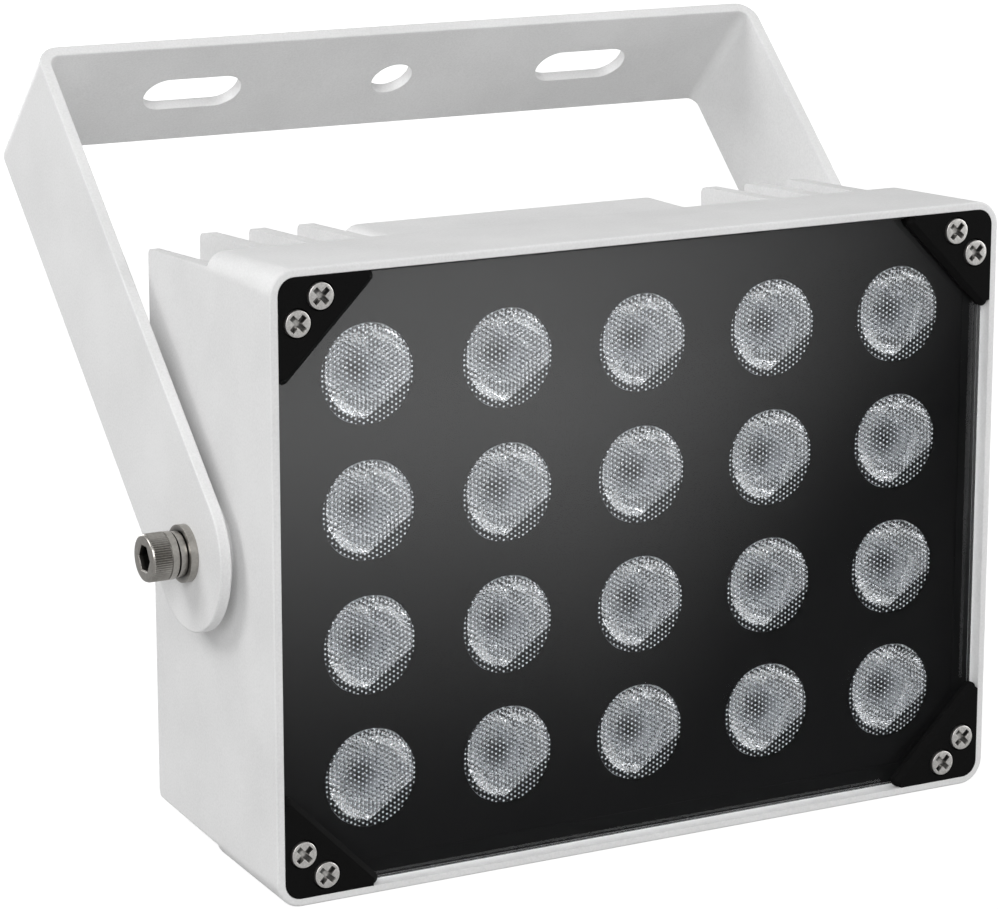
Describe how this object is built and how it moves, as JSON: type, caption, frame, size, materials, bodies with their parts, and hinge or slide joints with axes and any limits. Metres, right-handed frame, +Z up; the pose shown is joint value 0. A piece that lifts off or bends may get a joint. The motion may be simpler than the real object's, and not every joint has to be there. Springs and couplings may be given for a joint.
{
  "type": "infrared illuminator",
  "caption": "Infrared illuminator for a security camera: cast housing with a lens grid behind glass, rear cooling fins, and a slotted U bracket that tilts on socket screws.",
  "frame": {"origin": "middle of the housing's drafted underside", "axes": "+X to the viewer's right across the front, +Y from the window to the rear, +Z up"},
  "size_m": [0.202, 0.1306, 0.1628],
  "materials": {
    "housing_coat": "white powder coat",
    "bracket_coat": "white powder coat",
    "window_glass": "toughened, polished",
    "seal_rubber": "matt",
    "clamp_black": "satin black",
    "lens_clear": "clear, beaded face",
    "plate_black": "black",
    "screw_steel": "bright",
    "pivot_steel": "satin",
    "board_metal": "white solder mask",
    "board_green": "solder mask",
    "pad_grey": "matt",
    "emitter_clear": "clear dome",
    "choke_black": "ferrite",
    "can_aluminium": "bright",
    "terminal_green": "moulded",
    "lead_sleeve": "soft sleeve",
    "gland_black": "moulded"
  },
  "bodies": {
    "housing_body": {"board_screws": "screw_steel", "clamp_screws": "screw_steel", "corner_clamp_bottom_left": "clamp_black", "corner_clamp_bottom_right": "clamp_black", "corner_clamp_top_left": "clamp_black", "corner_clamp_top_right": "clamp_black", "driver_board": "board_green", "driver_capacitors": "can_aluminium", "driver_inductor": "choke_black", "driver_screws": "screw_steel", "driver_terminal": "terminal_green", "flat_washer_left": "pivot_steel", "flat_washer_right": "pivot_steel", "gland_body": "gland_black", "gland_cap": "gland_black", "gland_locknut": "gland_black", "gland_seal": "seal_rubber", "housing": "housing_coat", "lead_left": "lead_sleeve", "lead_right": "lead_sleeve", "led_board": "board_metal", "led_emitters": "emitter_clear", "lens_11": "lens_clear", "lens_12": "lens_clear", "lens_13": "lens_clear", "lens_14": "lens_clear", "lens_15": "lens_clear", "lens_21": "lens_clear", "lens_22": "lens_clear", "lens_23": "lens_clear", "lens_24": "lens_clear", "lens_25": "lens_clear", "lens_31": "lens_clear", "lens_32": "lens_clear", "lens_33": "lens_clear", "lens_34": "lens_clear", "lens_35": "lens_clear", "lens_41": "lens_clear", "lens_42": "lens_clear", "lens_43": "lens_clear", "lens_44": "lens_clear", "lens_45": "lens_clear", "lens_plate": "plate_black", "pivot_screw_left": "pivot_steel", "pivot_screw_right": "pivot_steel", "spring_washer_left": "pivot_steel", "spring_washer_right": "pivot_steel", "thermal_pad": "pad_grey", "window": "window_glass", "window_gasket": "seal_rubber"},
    "bracket_body": {"bracket": "bracket_coat"}
  },
  "joints": [
    {"name": "bracket_tilt", "type": "hinge", "parent": "housing_body", "child": "bracket_body", "pos_m": [0, 0.015, 0.06726], "axis": [1, 0, 0], "range_deg": [-44, 136]}
  ]
}
